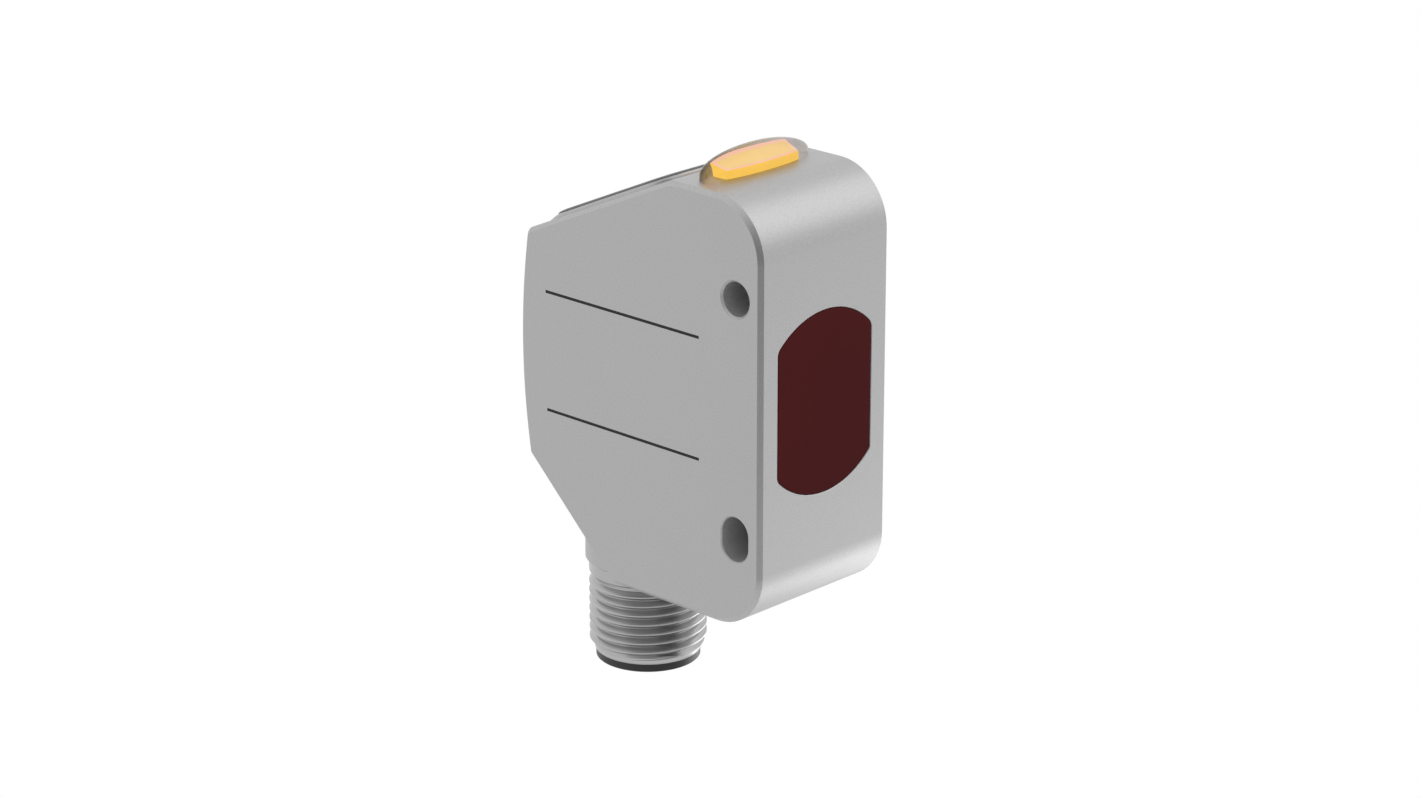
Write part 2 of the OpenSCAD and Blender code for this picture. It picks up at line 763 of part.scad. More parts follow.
module connector_barrel() {
    root_r = thread_r - thread_depth;
    thread_top = thread_from + thread_turns * thread_pitch;
    inner = barrel_bore_r - 1;
    color(steel) translate([0, conn_y, 0]) difference() {
        rotate_extrude() polygon(concat(
            [[inner, barrel_z], [root_r - 0.2, barrel_z], [root_r, barrel_z + 0.25]],
            thread_points(),
            [[root_r, thread_top], [thread_r, thread_top + 0.5], [thread_r, neck_z],
             [spigot_r, neck_z], [spigot_r, spigot_top_z], [inner, spigot_top_z]]));
        translate([0, 0, barrel_z - 1]) cylinder(r = barrel_bore_r, h = insert_top_z - barrel_z + 1);
        translate([0, 0, insert_top_z - eps]) cylinder(r = inner, h = 20);
        translate([0, 0, seal_z]) rotate_extrude() translate([neck_bore_r, 0]) square([1.6, 1.2], true);
    }
}

module connector_seal() {
    color(dark) translate([0, conn_y, seal_z])
        rotate_extrude() translate([neck_bore_r - 0.41, 0]) circle(r = 0.38);
}

// Black contact carrier: its lip hides the end of the metal, and a rib inside keys the plug
module connector_insert() {
    color(dark) {
        difference() {
            union() {
                rod_z(insert_r, barrel_z, insert_top_z - slip);
                rod_z(insert_lip_r, insert_z, barrel_z);
            }
            rod_z(socket_r, insert_z - 1, socket_z);
            translate([0, conn_y, 0]) at_pins() translate([0, 0, socket_z - 1]) cylinder(r = pin_r + slip, h = 9);
        }
        block([-0.5, conn_y - socket_r - 0.1, insert_z + 1], [0.5, conn_y - socket_r + 0.6, socket_z + eps]);
    }
}

module at_pins() {
    for (a = [45 : 90 : 315]) translate([pin_circle / 2 * cos(a), pin_circle / 2 * sin(a), 0]) children();
    children();
}

module contact_pins() {
    tip = insert_z + pin_tip_gap;
    color(gold) translate([0, conn_y, 0]) at_pins() {
        translate([0, 0, tip + 0.3]) cylinder(r = pin_r, h = link_board_z + board_t + 0.5 - tip - 0.3);
        translate([0, 0, tip]) cylinder(r1 = pin_r - 0.25, r2 = pin_r, h = 0.3 + eps);
    }
}

module connector_board() {
    color(board_green) translate([0, conn_y, link_board_z]) difference() {
        cylinder(r = barrel_bore_r - 1.1, h = board_t);
        at_pins() translate([0, 0, -1]) cylinder(r = pin_r + slip, h = 4);
    }
}

module connector_cable() {
    z = link_board_z + board_t;
    color("#c98a2e") {
        block([1.1, conn_y - 1.5, z], [1.25, conn_y + 1.5, neck_top_z + 1]);
        block([1.1, conn_y - 1.5, neck_top_z + 0.85], [board_x0, conn_y + 1.5, neck_top_z + 1]);
    }
}

housing();
side_cover();
sensing_window();
window_seal();
optics_carrier();
carrier_screws();
laser_barrel();
collimating_lens();
laser_diode();
laser_board();
receiving_lens();
lens_retainer();
image_sensor();
imager_board();
main_board();
processor();
board_parts();
board_screws();
rear_panel();
panel_seal();
button_select();
button_minus();
button_plus();
keypad_membrane();
key_switches();
digit_display();
display_board();
display_cable();
indicator_lens();
indicator_core();
indicator_seal();
indicator_leds();
indicator_board();
indicator_cable();
connector_barrel();
connector_seal();
connector_insert();
contact_pins();
connector_board();
connector_cable();
imager_cable();
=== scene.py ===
"""Looks of a compact laser distance sensor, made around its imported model.

Lengths in this script are millimetres until mesh_piece() turns them into metres.
Z points up, the sensing face looks along -Y, and the width lies along X.
"""
import json
import math

import bmesh
import bpy
from mathutils import Matrix, Vector


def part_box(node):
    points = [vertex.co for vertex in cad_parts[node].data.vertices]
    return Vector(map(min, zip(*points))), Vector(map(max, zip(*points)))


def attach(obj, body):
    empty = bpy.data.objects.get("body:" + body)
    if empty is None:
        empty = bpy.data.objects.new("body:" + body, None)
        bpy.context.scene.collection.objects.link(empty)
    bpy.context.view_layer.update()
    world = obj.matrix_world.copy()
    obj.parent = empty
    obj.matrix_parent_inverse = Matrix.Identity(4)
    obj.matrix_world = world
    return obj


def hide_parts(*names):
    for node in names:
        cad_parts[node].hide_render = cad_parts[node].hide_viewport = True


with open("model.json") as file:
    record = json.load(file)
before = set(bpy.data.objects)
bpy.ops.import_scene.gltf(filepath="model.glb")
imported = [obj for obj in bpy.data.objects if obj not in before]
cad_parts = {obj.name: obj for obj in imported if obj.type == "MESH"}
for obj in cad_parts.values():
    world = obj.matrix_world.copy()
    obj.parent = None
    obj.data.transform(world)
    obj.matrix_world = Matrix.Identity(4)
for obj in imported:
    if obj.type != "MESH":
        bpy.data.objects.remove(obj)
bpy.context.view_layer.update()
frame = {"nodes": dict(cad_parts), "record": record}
MM = 0.001
SMOOTH_BELOW = 32


def box_mm(node):
    """Lowest and highest corner of a node, in millimetres."""
    low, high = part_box(node)
    return low / MM, high / MM


# ---- sizes taken from the frame -------------------------------------------------------------

house_low, house_high = box_mm("housing")
window_low, window_high = box_mm("sensing_window")
lens_low, lens_high = box_mm("indicator_lens")
barrel_low, barrel_high = box_mm("connector_barrel")
insert_low, _ = box_mm("connector_insert")
pins_low, pins_high = box_mm("contact_pins")

SIDE = house_high.x
FRONT = house_low.y
BACK = house_high.y
CONN_Y = (barrel_low.y + barrel_high.y) / 2
WINDOW_Z = (window_low.z + window_high.z) / 2
WINDOW_W = window_high.x - window_low.x
WINDOW_H = window_high.z - window_low.z

# ---- sizes of the housing's own shape ---------------------------------------------------------

TOP = 9.8
HOUSE_H = 42.9
BOTTOM = TOP - HOUSE_H
CREST = Vector((0, FRONT + 11.9, TOP))
SLOPE = 24.2
SLANT = 43.3
HEEL_Y = FRONT + 20.1
BACK_R = 70
BACK_LEAN = 8.2
APEX_Z = (TOP + BOTTOM) / 2 + 0.85
CORNER_R = 1.2
FRONT_R = 6
EDGE = 0.44
LAND = 0.9
WALL = 1.3
SIDE_WALL = 1.2
FRONT_WALL = 1.8
COVER_T = 1
SEAM = 0.03

# Each hole through the width: how far its two half circles stand from its centre, the height of
# its centre, and the flare of its mouths.
HOLES = ((0, 0, 0.2), (0.55, -24, 0.12))
HOLE_R = 1.7
BOSS_WALL = 1

RULES_Z = (-4.78, -17.02)
RULE_START = 4.68
RULE_END = 25.45
RULE_HALF = 0.15
RULE_DEPTH = 0.04

WINDOW_CORNER = 1
WINDOW_T = 1
WINDOW_SUNK = 0.02
WINDOW_GAP = 0.05
WINDOW_BREAK = 0.06
WINDOW_SEAT = 1.3
WINDOW_LEDGE = 0.8

# ---- sizes of the connector -------------------------------------------------------------------

NECK_R = 6.3
NECK_TOP = BOTTOM + 10.6
NECK_END = barrel_low.z + 9.75
NECK_BORE_R = 5.1
THREAD_ROOT = 5.41
THREAD_CREST = 5.95
THREAD_LOW = barrel_low.z + 0.85
THREAD_HIGH = barrel_low.z + 8.3
PITCH = 1.0
BARREL_BORE = 4.8
SPIGOT_R = 5.08
INSERT_R = 4.78
SOCKET_R = 4.3
SOCKET_DEPTH = 8.6
LIP_H = 0.85
LIP_R = 5.3
PIN_R = 0.5
PIN_CIRCLE = 2.5

# ---- sizes of the rear panel, along the slope from its crest ------------------------------------

PANEL_W = 16.4
PANEL_L = 17.9
PANEL_START = 1.2
PANEL_END = PANEL_START + PANEL_L
PANEL_R = 3
BEZEL_H = 0.4
PLATE_TOP = 0.66
RIM_END = 20.5
RIM_DRAW = 0.12
DISPLAY_W = 12.4
DISPLAY_START = PANEL_START + 2.6
DISPLAY_END = PANEL_START + 8.6
DISPLAY_DEPTH = 0.1
DIGITS = 4
DIGIT_V = PANEL_START + 5.3
DIGIT_W = 1.15
DIGIT_HALF = 1.3
DIGIT_PITCH = 2.5
DIGIT_SUNK = 0.015
SEGMENT_L = 0.95
SEGMENT_W = 0.22
SEGMENT_T = 0.02
BUTTON_R = 2
BUTTON_PITCH = 4.4
BUTTON_V = PANEL_END - 5.6
BUTTON_GAP = 0.08
KEY_SUNK = 0.03
KEY_EDGE = 0.22
KEY_DISH = 0.1
FLANGE_R = BUTTON_R + 0.2
FLANGE_Z = -0.9
FLANGE_T = 0.3
MARK_L = 1.3
MARK_W = 0.22
MARK_DEPTHS = (0.14, 0.075)

# Each key: its node, its body, its place counted from the middle one, and the bars of its mark
# as lengths along X and Y. The first key has a ring instead.
KEYS = (
    ("button_select", "select_key", -1, ()),
    ("button_minus", "minus_key", 0, ((MARK_L, MARK_W),)),
    ("button_plus", "plus_key", 1, ((MARK_L, MARK_W), (MARK_W, MARK_L))),
)
RING_R = (0.42, 0.62)

# ---- sizes of the indicator ---------------------------------------------------------------------

LENS_Y = (lens_low.y + lens_high.y) / 2
LENS_L = lens_high.x - lens_low.x
LENS_W = lens_high.y - lens_low.y
LENS_EDGE = 0.5
LENS_TOP = lens_high.z - TOP
LENS_SUNK = 0.04
CORE_L = 9.8
CORE_H = 0.8
CORE_MARGIN = 0.65
STEM_L = 3
STEM_INSET = 0.35

# ---- places: 2D outlines are drawn flat and then stood where they belong --------------------

SIDEWAYS = Matrix(((0, 0, 1, 0), (1, 0, 0, 0), (0, 1, 0, 0), (0, 0, 0, 1)))
FORWARD = Matrix.Translation((0, FRONT, 0)) @ Matrix.Rotation(math.radians(90), 4, "X")
AT_LENS = Matrix.Translation((0, LENS_Y, TOP))
ON_SLOPE = Matrix.Translation(CREST) @ Matrix.Rotation(math.radians(-SLOPE), 4, "X")
DOWN_CONN = Matrix.Translation((0, CONN_Y, 0))


# ---- outlines -----------------------------------------------------------------------------------

def heading(degrees):
    """Unit vector at an angle in the plane."""
    a = math.radians(degrees)
    return Vector((math.cos(a), math.sin(a)))


def crossing(p, a, q, b):
    """Where the line through p towards angle a meets the line through q towards angle b."""
    u, v = heading(a), heading(b)
    return p + u * ((q - p).cross(v) / u.cross(v))


def rounded(edges, inset, steps):
    """Closed outline from edges, each a point, a direction and the radius of its end corner."""
    points = []
    for k, (p, a, r) in enumerate(edges):
        q, b, _ = edges[(k + 1) % len(edges)]
        turn = (b - a) % 360
        corner = crossing(p + inset * heading(a + 90), a, q + inset * heading(b + 90), b)
        r = max(r - inset, 0.12)
        centre = corner - r * math.tan(math.radians(turn / 2)) * heading(a) + r * heading(a + 90)
        points += [centre + r * heading(a + turn * j / steps - 90) for j in range(steps + 1)]
    return points


def housing_outline(inset):
    """Side view of the housing, as Y and Z, drawn in by the inset."""
    apex = Vector((BACK + BACK_R * (1 / math.cos(math.radians(BACK_LEAN)) - 1), APEX_Z))
    crest = Vector((CREST.y, TOP))
    edges = [
        (Vector((FRONT, BOTTOM)), 0, CORNER_R),
        (Vector((HEEL_Y, BOTTOM)), SLANT, 0.9),
        (apex, 90 - BACK_LEAN, BACK_R),
        (apex, 90 + BACK_LEAN, CORNER_R),
        (crest, 180 - SLOPE, 1.5),
        (crest, 180, FRONT_R),
        (Vector((FRONT, TOP)), 270, FRONT_R),
    ]
    return rounded(edges, inset, 20)


def round_rectangle(w, y0, y1, r, inset=0.0):
    """Rectangle centred across X with round corners, drawn in by the inset."""
    x, r = w / 2 - inset, max(r - inset, 0.05)
    centres = [(x - r, y0 + inset + r, 270), (x - r, y1 - inset - r, 0),
               (-x + r, y1 - inset - r, 90), (-x + r, y0 + inset + r, 180)]
    return [Vector((cx, cy)) + r * heading(a + 90 * j / 12)
            for cx, cy, a in centres for j in range(13)]


def stadium(reach, r, z):
    """Upright slot: two half circles of radius r, reach above and below the height z."""
    upper = [Vector((0, z + reach)) + r * heading(180 * j / 32) for j in range(33)]
    lower = [Vector((0, z - reach)) + r * heading(180 + 180 * j / 32) for j in range(33)]
    return upper + lower


def window_outline(inset):
    """Circle cut by two upright sides, its four corners rounded."""
    big, c = WINDOW_H / 2 - inset, max(WINDOW_CORNER - inset, 0.2)
    x = WINDOW_W / 2 - inset - c
    z = math.sqrt((big - c) ** 2 - x * x)
    lean = math.degrees(math.atan2(z, x))
    points = [big * heading(lean + (180 - 2 * lean) * j / 40) for j in range(40)]
    points += [Vector((-x, z)) + c * heading(180 - lean + lean * j / 10) for j in range(10)]
    points += [Vector((-x, -z)) + c * heading(180 + lean * j / 10) for j in range(10)]
    points += [big * heading(180 + lean + (180 - 2 * lean) * j / 40) for j in range(40)]
    points += [Vector((x, -z)) + c * heading(360 - lean + lean * j / 10) for j in range(10)]
    points += [Vector((x, z)) + c * heading(lean * j / 10) for j in range(10)]
    return [p + Vector((0, WINDOW_Z)) for p in points]


def squared_oval(length, width):
    """Superellipse: an oval with squarer ends."""
    points, power, steps = [], 2.1, 96
    for j in range(steps):
        a = 2 * math.pi * (j + 0.5) / steps
        c, s = math.cos(a), math.sin(a)
        points.append(Vector((length / 2 * math.copysign(abs(c) ** (2 / power), c),
                              width / 2 * math.copysign(abs(s) ** (2 / power), s))))
    return points


# ---- mesh tools -----------------------------------------------------------------------------------

def mesh_piece(name, bm, materials, sharp=SMOOTH_BELOW):
    """Turns a bmesh in millimetres into a named object in metres, shaded smooth up to an angle."""
    bmesh.ops.remove_doubles(bm, verts=bm.verts, dist=1e-4)
    bmesh.ops.dissolve_degenerate(bm, edges=bm.edges, dist=1e-5)
    bmesh.ops.recalc_face_normals(bm, faces=bm.faces)
    bmesh.ops.scale(bm, vec=(MM, MM, MM), verts=bm.verts)
    mesh = bpy.data.meshes.new(name)
    bm.to_mesh(mesh)
    bm.free()
    for material in materials:
        mesh.materials.append(material)
    mesh.shade_smooth()
    mesh.set_sharp_from_angle(angle=math.radians(sharp))
    piece = bpy.data.objects.new(name, mesh)
    bpy.context.scene.collection.objects.link(piece)
    return piece


def add_loft(bm, rings, material=0):
    """Closed skin through rings of equally many points, capped at both ends."""
    rows = [[bm.verts.new(p) for p in ring] for ring in rings]
    n = len(rows[0])
    for low, high in zip(rows, rows[1:]):
        for j in range(n):
            face = bm.faces.new((low[j], low[(j + 1) % n], high[(j + 1) % n], high[j]))
            face.material_index = material
    for cap in (rows[0][::-1], rows[-1]):
        bm.faces.new(cap).material_index = material


def stand(points, level, place):
    """A flat outline at a level, stood in its place."""
    return [place @ Vector((p.x, p.y, level)) for p in points]


def solid(levels, outline, place):
    """Bmesh of a plate whose outline is drawn in by its own amount at each level."""
    bm = bmesh.new()
    add_loft(bm, [stand(outline(inset), level, place) for level, inset in levels])
    return bm


def straight(low, high, outline, place, inset=0.0):
    """Bmesh of a plate with upright sides between two levels."""
    return solid([(low, inset), (high, inset)], outline, place)


def rounded_levels(low, high, edge, steps=4):
    """Levels of a plate with a rounded rim at its high face."""
    arc = [(high - edge + edge * math.sin(math.pi / 2 * k / steps),
            edge * (1 - math.cos(math.pi / 2 * k / steps))) for k in range(steps + 1)]
    return [(low, 0)] + arc


def add_lathe(bm, profile, place, steps=96, material=0):
    """Closed turned shape from a closed profile of radius and height."""
    rows = []
    for k in range(steps):
        turn = heading(360 * k / steps)
        rows.append([bm.verts.new(place @ Vector((r * turn.x, r * turn.y, z))) for r, z in profile])
    n = len(profile)
    for k in range(steps):
        here, there = rows[k], rows[(k + 1) % steps]
        for j in range(n):
            i = (j + 1) % n
            ring = [here[j], there[j], there[i], here[i]]
            bm.faces.new(ring).material_index = material


def lathe(profile, place, steps=96):
    """Bmesh of a turned shape."""
    bm = bmesh.new()
    add_lathe(bm, profile, place, steps)
    return bm


def baked(piece):
    """Applies a piece's modifiers, and gives the piece back with a plain mesh."""
    graph = bpy.context.evaluated_depsgraph_get()
    graph.update()
    mesh = bpy.data.meshes.new_from_object(piece.evaluated_get(graph))
    piece.modifiers.clear()
    piece.data = mesh
    return piece


def combine(piece, operation, bm, material):
    """Joins a solid to a piece, or takes it away; the new faces get the material."""
    tool = mesh_piece("tool", bm, [material])
    step = piece.modifiers.new("cut", "BOOLEAN")
    step.solver = "EXACT"
    step.operation = operation
    step.material_mode = "TRANSFER"
    step.object = tool
    baked(piece)
    bpy.data.objects.remove(tool)


def weld(piece, bm, material):
    """Joins a solid to a piece."""
    combine(piece, "UNION", bm, material)


def carve(piece, bm, material):
    """Takes a solid away from a piece."""
    combine(piece, "DIFFERENCE", bm, material)


def finish_edges(piece):
    """Smooth shading that keeps the flats flat beside their rounded edges."""
    piece.data.shade_smooth()
    piece.data.set_sharp_from_angle(angle=math.radians(SMOOTH_BELOW))
    weighted = piece.modifiers.new("flats", "WEIGHTED_NORMAL")
    weighted.keep_sharp = True
    weighted.weight = 80
    return baked(piece)


# ---- shader groups ------------------------------------------------------------------------------

def new_group(name, inputs, outputs):
    """Shader node group with float inputs and outputs, and its two end nodes."""
    group = bpy.data.node_groups.new(name, "ShaderNodeTree")
    for label, value in inputs:
        socket = group.interface.new_socket(label, in_out="INPUT", socket_type="NodeSocketFloat")
        socket.default_value = value
    for label in outputs:
        group.interface.new_socket(label, in_out="OUTPUT", socket_type="NodeSocketFloat")
    return group, group.nodes.new("NodeGroupInput"), group.nodes.new("NodeGroupOutput")


def put(tree, kind, **values):
    """Adds a node; values whose names are sockets go to those sockets, the rest to the node."""
    node = tree.nodes.new(kind)
    for key, value in values.items():
        label = key.replace("_", " ")
        if label in node.inputs:
            node.inputs[label].default_value = value
        else:
            setattr(node, key, value)
    return node


def mul_add(tree, value, factor, offset):
    """value * factor + offset, where factor and offset may be sockets."""
    node = put(tree, "ShaderNodeMath", operation="MULTIPLY_ADD")
    tree.links.new(value, node.inputs[0])
    for slot, item in ((1, factor), (2, offset)):
        if isinstance(item, (int, float)):
            node.inputs[slot].default_value = item
        else:
            tree.links.new(item, node.inputs[slot])
    return node.outputs[0]


def blast_group():
    """Bead-blasted skin: fine pits, a coarser cloud and the height of the pits."""
    tree, entry, exit_ = new_group("blasted_skin", [("Grain", 9000.0), ("Cloud", 160.0)],
                                   ["Tone", "Roughness", "Height"])
    where = put(tree, "ShaderNodeTexCoord").outputs["Object"]
    pits = put(tree, "ShaderNodeTexNoise", Detail=3.0, Roughness=0.65).outputs["Fac"]
    cloud = put(tree, "ShaderNodeTexNoise", Detail=4.0, Roughness=0.55).outputs["Fac"]
    for noise, label in ((pits, "Grain"), (cloud, "Cloud")):
        tree.links.new(where, noise.node.inputs["Vector"])
        tree.links.new(entry.outputs[label], noise.node.inputs["Scale"])
    tree.links.new(mul_add(tree, cloud, 0.12, pits), exit_.inputs["Tone"])
    tree.links.new(mul_add(tree, cloud, 0.05, -0.025), exit_.inputs["Roughness"])
    tree.links.new(pits, exit_.inputs["Height"])
    return tree


def turned_group():
    """Fine rings left by a lathe on anything turned about an upright axis."""
    tree, entry, exit_ = new_group("turning_rings", [("Rings", 9000.0)], ["Tone", "Height"])
    where = put(tree, "ShaderNodeTexCoord").outputs["Object"]
    split = put(tree, "ShaderNodeSeparateXYZ")
    tree.links.new(where, split.inputs[0])
    line = put(tree, "ShaderNodeTexNoise", noise_dimensions="1D", Detail=2.0)
    tree.links.new(split.outputs["Z"], line.inputs["W"])
    tree.links.new(entry.outputs["Rings"], line.inputs["Scale"])
    tree.links.new(line.outputs["Fac"], exit_.inputs["Tone"])
    tree.links.new(line.outputs["Fac"], exit_.inputs["Height"])
    return tree


def cloud_group():
    """Soft uneven tone and roughness of moulded, painted and printed surfaces."""
    tree, entry, exit_ = new_group("soft_cloud", [("Grain", 6000.0), ("Cloud", 220.0)],
                                   ["Tone", "Roughness", "Height"])
    where = put(tree, "ShaderNodeTexCoord").outputs["Object"]
    fine = put(tree, "ShaderNodeTexNoise", Detail=2.0).outputs["Fac"]
    broad = put(tree, "ShaderNodeTexNoise", Detail=3.0).outputs["Fac"]
    for noise, label in ((fine, "Grain"), (broad, "Cloud")):
        tree.links.new(where, noise.node.inputs["Vector"])
        tree.links.new(entry.outputs[label], noise.node.inputs["Scale"])
    tree.links.new(broad, exit_.inputs["Tone"])
    tree.links.new(mul_add(tree, broad, 0.16, -0.08), exit_.inputs["Roughness"])
    tree.links.new(fine, exit_.inputs["Height"])
    return tree


BLAST = blast_group()
TURNED = turned_group()
CLOUD = cloud_group()


def srgb(*levels):
    """Linear colour from 0 to 255 display levels."""
    linear = [(v / 255 / 12.92) if v <= 10 else ((v / 255 + 0.055) / 1.055) ** 2.4 for v in levels]
    return (*linear, 1.0)


def grey(level):
    """Neutral grey from one display level."""
    return srgb(level, level, level)


def surface(name, group, settings, dark, light, tone_range, roughness, bump, **principled):
    """A material whose tone, roughness and relief vary with one of the shader groups.

    The bump is a strength and a height; anything else goes to the Principled shader's sockets.
    """
    material = bpy.data.materials.new(name)
    material.use_nodes = True
    tree = material.node_tree
    shader = tree.nodes["Principled BSDF"]
    skin = tree.nodes.new("ShaderNodeGroup")
    skin.node_tree = group
    for label, value in settings.items():
        skin.inputs[label].default_value = value
    spread = put(tree, "ShaderNodeMapRange")
    spread.inputs["From Min"].default_value, spread.inputs["From Max"].default_value = tone_range
    tree.links.new(skin.outputs["Tone"], spread.inputs["Value"])
    mix = put(tree, "ShaderNodeMix", data_type="RGBA")
    mix.inputs[6].default_value, mix.inputs[7].default_value = dark, light
    tree.links.new(spread.outputs["Result"], mix.inputs["Factor"])
    tree.links.new(mix.outputs[2], shader.inputs["Base Color"])
    shader.inputs["Roughness"].default_value = roughness
    if "Roughness" in skin.outputs:
        rough = mul_add(tree, skin.outputs["Roughness"], 1.0, roughness)
        tree.links.new(rough, shader.inputs["Roughness"])
    relief = put(tree, "ShaderNodeBump", Strength=bump[0], Distance=bump[1] * MM)
    tree.links.new(skin.outputs["Height"], relief.inputs["Height"])
    tree.links.new(relief.outputs["Normal"], shader.inputs["Normal"])
    for label, value in principled.items():
        shader.inputs[label.replace("_", " ")].default_value = value
    return material


# ---- finishes -------------------------------------------------------------------------------------

def blasted(name, grain, cloud, dark, light, tone_range, roughness, height, **principled):
    """A bead-blasted surface."""
    settings = {"Grain": grain, "Cloud": cloud}
    return surface(name, BLAST, settings, dark, light, tone_range, roughness, (0.3, height),
                   **principled)


def turned(name, rings, dark, light, roughness, bump):
    """Bare metal with a lathe's rings."""
    return surface(name, TURNED, {"Rings": rings}, dark, light, EVEN, roughness, bump, Metallic=1.0)


def moulded(name, grain, cloud, dark, light, roughness, bump, **principled):
    """A moulded, painted or printed surface with a soft cloudy tone."""
    settings = {"Grain": grain, "Cloud": cloud}
    return surface(name, CLOUD, settings, dark, light, EVEN, roughness, bump, **principled)


def glass(name, grain, cloud, dark, light, roughness, bump, ior):
    """A clear material that light passes through."""
    material = moulded(name, grain, cloud, dark, light, roughness, bump, IOR=ior)
    material.node_tree.nodes["Principled BSDF"].inputs["Transmission Weight"].default_value = 1.0
    return material


def clear_lens():
    """Clear plastic that gathers a faint brown tint where it is seen along its edge."""
    material = glass("clear_lens", 2500.0, 300.0, srgb(246, 240, 236), srgb(252, 247, 243), 0.04,
                     (0.03, 0.01), 1.25)
    tree = material.node_tree
    base = tree.nodes["Principled BSDF"].inputs["Base Color"]
    edge = put(tree, "ShaderNodeLayerWeight", Blend=0.35)
    tint = put(tree, "ShaderNodeMix", data_type="RGBA")
    tint.inputs[7].default_value = srgb(212, 197, 188)
    tree.links.new(edge.outputs["Facing"], tint.inputs["Factor"])
    tree.links.new(base.links[0].from_socket, tint.inputs[6])
    tree.links.new(tint.outputs[2], base)
    return material


def lit_plastic(name, glow, strength, dark, light):
    """Moulded plastic lit from inside: a steady glow over a soft uneven tone."""
    return moulded(name, 3000.0, 500.0, dark, light, 0.4, (0.1, 0.02),
                   Emission_Color=glow, Emission_Strength=strength)


EVEN = (0.3, 0.7)
PITTED = (0.3, 0.82)
STEEL = blasted("blasted_steel", 7000.0, 140.0, grey(171), grey(191), PITTED, 0.42, 0.012,
                Metallic=1.0)
BORED = blasted("bored_steel", 5000.0, 400.0, grey(170), grey(196), PITTED, 0.45, 0.012,
                Metallic=0.35)
ETCHED = blasted("etched_line", 12000.0, 160.0, grey(44), grey(60), (0.4, 0.9), 0.6, 0.01,
                 Specular_IOR_Level=0.2)
AMBER_CORE = lit_plastic("amber_core", srgb(255, 208, 84), 0.85, srgb(120, 80, 20), srgb(140, 96, 30))
AMBER_FACE = lit_plastic("amber_face", srgb(244, 206, 122), 0.8, srgb(110, 90, 50), srgb(130, 104, 60))
ROSE_RIM = lit_plastic("rose_rim", srgb(250, 194, 166), 0.8, srgb(120, 90, 76), srgb(140, 104, 90))
SEGMENT_GREY = moulded("segment_grey", 4000.0, 400.0, srgb(62, 64, 67), srgb(72, 74, 77), 0.4,
                       (0.05, 0.01))
PRINT = moulded("white_print", 7000.0, 500.0, srgb(205, 205, 202), srgb(222, 222, 219), 0.5,
                (0.1, 0.01))
MOULDED_BLACK = moulded("black_moulded", 7000.0, 250.0, srgb(22, 22, 23), srgb(34, 34, 35), 0.42,
                        (0.2, 0.02))
FINISHES = {
    "stainless_steel": STEEL,
    "turned_steel": turned("turned_steel", 5000.0, grey(170), grey(184), 0.3, (0.05, 0.003)),
    "screw_steel": turned("screw_steel", 9000.0, grey(150), grey(190), 0.3, (0.2, 0.01)),
    "window_red": moulded("red_window", 900.0, 60.0, srgb(71, 14, 16), srgb(78, 18, 20), 0.1,
                          (0.04, 0.01), IOR=1.49, Specular_IOR_Level=0.05),
    "lens_clear": clear_lens(),
    "indicator_amber": AMBER_CORE,
    "clear_optics": glass("optical_glass", 2000.0, 200.0, srgb(225, 235, 245), srgb(240, 246, 250),
                          0.06, (0.02, 0.01), 1.52),
    "panel_dark": moulded("panel_film", 9000.0, 150.0, srgb(88, 89, 91), srgb(100, 101, 103), 0.5,
                          (0.25, 0.02)),
    "button_grey": moulded("key_rubber", 8000.0, 300.0, srgb(84, 86, 89), srgb(100, 102, 105), 0.55,
                           (0.25, 0.02)),
    "display_glass": moulded("display_black", 1500.0, 120.0, srgb(12, 12, 14), srgb(20, 20, 23), 0.1,
                             (0.02, 0.01), Coat_Weight=0.5, Coat_Roughness=0.03),
    "black_plastic": MOULDED_BLACK,
    "black_rubber": moulded("black_rubber", 5000.0, 200.0, grey(20), grey(32), 0.7, (0.2, 0.02)),
    "brass_parts": turned("turned_brass", 6000.0, srgb(190, 150, 70), srgb(215, 178, 96), 0.28,
                          (0.2, 0.01)),
    "gold_contacts": turned("gold_plate", 9000.0, srgb(214, 170, 78), srgb(236, 196, 104), 0.2,
                            (0.15, 0.01)),
    "circuit_board": moulded("green_board", 3000.0, 400.0, srgb(20, 78, 46), srgb(30, 98, 58), 0.35,
                             (0.15, 0.02)),
    "chip_black": MOULDED_BLACK,
    "ribbon_cable": moulded("amber_film", 2500.0, 200.0, srgb(176, 112, 40), srgb(196, 130, 52), 0.3,
                            (0.05, 0.01)),
}


def dress_cad_nodes():
    """Gives every node of the model the finish of its material slot."""
    for entry in frame["record"]["subparts"]:
        node = frame["nodes"][entry["node"]]
        for slot in node.material_slots:
            slot.material = FINISHES[entry["material_slot"]]


def settle(piece, body, slot, *nodes):
    """Puts a finished piece on its body and hides the nodes it stands for; the name of its finish
    (slot) is not used.
    """
    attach(piece, body)
    if nodes:
        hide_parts(*nodes)
    return piece


# ---- housing --------------------------------------------------------------------------------------

def side_tube(r, reach, low, high, z, flare=0.0):
    """Tube or slot along X as a solid; its mouths open out by the flare, at 45 degrees."""
    def outline(inset):
        return stadium(reach, r - inset, z)

    if not flare:
        return straight(low, high, outline, SIDEWAYS)
    levels = [(low, -flare), (-SIDE, -flare), (-SIDE + flare, 0), (SIDE - flare, 0),
              (SIDE, -flare), (high, -flare)]
    return solid(levels, outline, SIDEWAYS)


